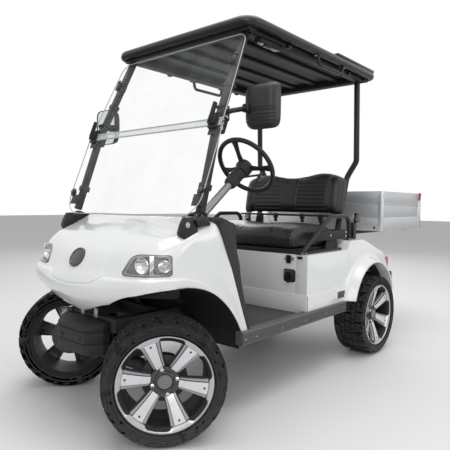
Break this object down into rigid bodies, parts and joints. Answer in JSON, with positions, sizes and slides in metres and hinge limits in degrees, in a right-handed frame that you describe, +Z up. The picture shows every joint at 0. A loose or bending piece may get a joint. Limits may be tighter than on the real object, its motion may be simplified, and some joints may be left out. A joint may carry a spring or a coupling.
{
  "type": "golf cart",
  "caption": "Two-seat golf cart with a canopy roof, folding windshield, alloy wheels and an aluminium cargo box behind the seat.",
  "frame": {"origin": "on the ground, in the middle of the vehicle's outline", "axes": "+X forward, +Y to the driver's left, +Z up"},
  "size_m": [2.9973, 1.3308, 1.857],
  "materials": {
    "body_white": "glossy moulded white",
    "tyre_rubber": "black rubber",
    "machined_alloy": "machined faces with black windows",
    "frame_black": "black chassis paint",
    "powder_black": "satin black powder coat",
    "trim_black": "black moulded plastic",
    "trim_grey": "dark grey moulded plastic",
    "seat_vinyl": "black stitched vinyl",
    "clear_glass": "clear acrylic",
    "lamp_lens": "clear lens over a bright reflector",
    "tail_red": "red lens",
    "box_aluminium": "brushed aluminium panels"
  },
  "bodies": {
    "root": {"front_cowl": "body_white", "rear_quarter_left": "body_white", "rear_quarter_right": "body_white", "seat_box_front": "body_white", "rear_deck": "body_white", "frame_rails": "frame_black", "cross_members": "frame_black", "spring_hangers": "frame_black", "front_beam": "frame_black", "front_shocks": "frame_black", "rear_axle": "frame_black", "leaf_springs": "frame_black", "cargo_subframe": "frame_black", "front_struts": "powder_black", "rear_struts": "powder_black", "hip_restraints": "powder_black", "roof_handles": "powder_black", "backrest_frame": "powder_black", "windshield_clamps": "powder_black", "dashboard": "trim_black", "front_bumper": "trim_black", "rear_bumper": "trim_black", "roof": "trim_black", "steering_column": "trim_black", "pedals": "trim_black", "mirrors": "trim_black", "wheel_liners": "trim_black", "battery_pack": "trim_black", "cowl_trims": "trim_grey", "seat_deck": "trim_grey", "sills": "trim_grey", "floor_pan": "trim_grey", "backrest": "seat_vinyl", "windshield": "clear_glass", "headlamps": "lamp_lens", "tail_lamps": "tail_red", "cargo_floor": "box_aluminium", "cargo_walls": "box_aluminium"},
    "knuckle_left": {"knuckle_left": "frame_black"},
    "knuckle_right": {"knuckle_right": "frame_black"},
    "wheel_front_left": {"tyre_front_left": "tyre_rubber", "rim_front_left": "machined_alloy"},
    "wheel_front_right": {"tyre_front_right": "tyre_rubber", "rim_front_right": "machined_alloy"},
    "wheel_rear_left": {"tyre_rear_left": "tyre_rubber", "rim_rear_left": "machined_alloy"},
    "wheel_rear_right": {"tyre_rear_right": "tyre_rubber", "rim_rear_right": "machined_alloy"},
    "tie_rod": {"tie_rod": "frame_black"},
    "steering_wheel": {"steering_wheel": "trim_black"},
    "seat_lid": {"seat_base": "trim_black", "seat_cushion": "seat_vinyl"},
    "tailgate": {"tailgate": "box_aluminium"}
  },
  "joints": [
    {"name": "steer_left", "type": "hinge", "parent": "root", "child": "knuckle_left", "pos_m": [1.1864, 0.363, 0.252], "axis": [0, 0, 1], "range_deg": [-1, 79]},
    {"name": "steer_right", "type": "hinge", "parent": "root", "child": "knuckle_right", "pos_m": [1.1864, -0.363, 0.252], "axis": [0, 0, 1], "range_deg": [-1, 79]},
    {"name": "rod_slide", "type": "slide", "parent": "root", "child": "tie_rod", "axis": [0, 1, 0], "range_m": [-0.1285, 0.0025]},
    {"name": "steering_turn", "type": "hinge", "parent": "root", "child": "steering_wheel", "pos_m": [0.5244, 0.268, 1.164], "axis": [-0.788, 0, 0.6157], "range_deg": [-14, 950]},
    {"name": "spin_front_left", "type": "hinge", "parent": "knuckle_left", "child": "wheel_front_left", "pos_m": [1.23675, 0.42517, 0.252], "axis": [0.6293, 0.7771, 0], "continuous": true},
    {"name": "spin_front_right", "type": "hinge", "parent": "knuckle_right", "child": "wheel_front_right", "pos_m": [1.13605, -0.42517, 0.252], "axis": [0.6293, 0.7771, 0], "continuous": true},
    {"name": "spin_rear_left", "type": "hinge", "parent": "root", "child": "wheel_rear_left", "pos_m": [-0.4836, 0.496, 0.252], "axis": [0, 1, 0], "continuous": true},
    {"name": "spin_rear_right", "type": "hinge", "parent": "root", "child": "wheel_rear_right", "pos_m": [-0.4836, -0.496, 0.252], "axis": [0, 1, 0], "continuous": true},
    {"name": "lid_hinge", "type": "hinge", "parent": "root", "child": "seat_lid", "pos_m": [0.2644, 0, 0.7], "axis": [0, 1, 0], "range_deg": [0, 75]},
    {"name": "tailgate_hinge", "type": "hinge", "parent": "root", "child": "tailgate", "pos_m": [-1.4896, 0, 0.77], "axis": [0, -1, 0], "range_deg": [0, 90]}
  ],
  "couplings": [
    {"joint": "steer_right", "follows": "steer_left", "ratio": 1},
    {"joint": "rod_slide", "follows": "steer_left", "m_per_rad": -0.0925},
    {"joint": "steering_turn", "follows": "steer_left", "ratio": 12}
  ]
}
